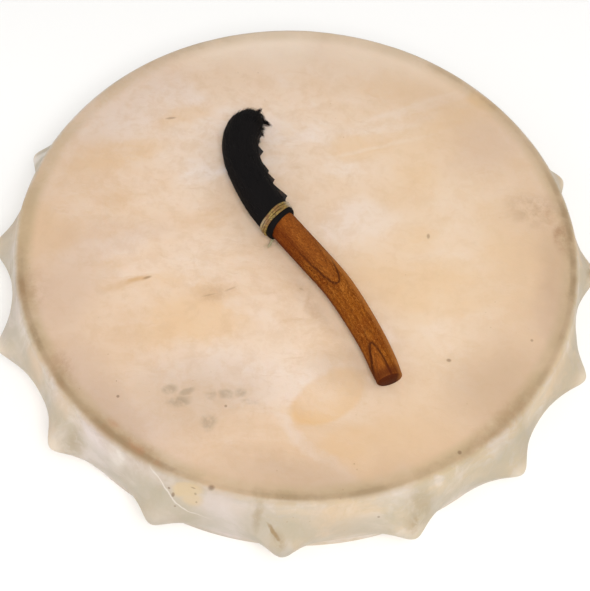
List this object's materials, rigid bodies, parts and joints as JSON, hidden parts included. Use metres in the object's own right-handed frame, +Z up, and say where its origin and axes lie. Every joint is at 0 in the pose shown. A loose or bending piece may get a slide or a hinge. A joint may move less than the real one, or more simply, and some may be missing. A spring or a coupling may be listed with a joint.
{
  "type": "shaman frame drum with beater",
  "caption": "Round frame drum with a raw hide head drawn over side pegs, a grip bar across the open back, and a fur-covered beater lying on the head.",
  "frame": {"origin": "on the surface the drum lies on, at the centre of the hoop's open back", "axes": "+Z up out of the playing head, +X along the grip bar, -Y towards the butt of the beater's handle"},
  "size_m": [0.5002, 0.5002, 0.1161],
  "materials": {
    "rawhide": "dry, slightly translucent raw hide, mottled cream and peach",
    "hoop_wood": "plain bent wood, unvarnished",
    "dark_wood": "oiled orange-brown wood with dark figure",
    "black_fur": "short black fur with a ragged seam",
    "sinew": "waxed yellow sinew cord"
  },
  "bodies": {
    "root": {"drum_hide": "rawhide", "hoop": "hoop_wood", "grip_bar": "dark_wood", "beater_stick": "dark_wood", "beater_sleeve": "black_fur", "beater_binding": "sinew", "peg_01": "hoop_wood", "peg_02": "hoop_wood", "peg_03": "hoop_wood", "peg_04": "hoop_wood", "peg_05": "hoop_wood", "peg_06": "hoop_wood", "peg_07": "hoop_wood", "peg_08": "hoop_wood", "peg_09": "hoop_wood", "peg_10": "hoop_wood", "peg_11": "hoop_wood", "peg_12": "hoop_wood", "peg_13": "hoop_wood", "peg_14": "hoop_wood", "peg_15": "hoop_wood", "peg_16": "hoop_wood"}
  },
  "joints": []
}
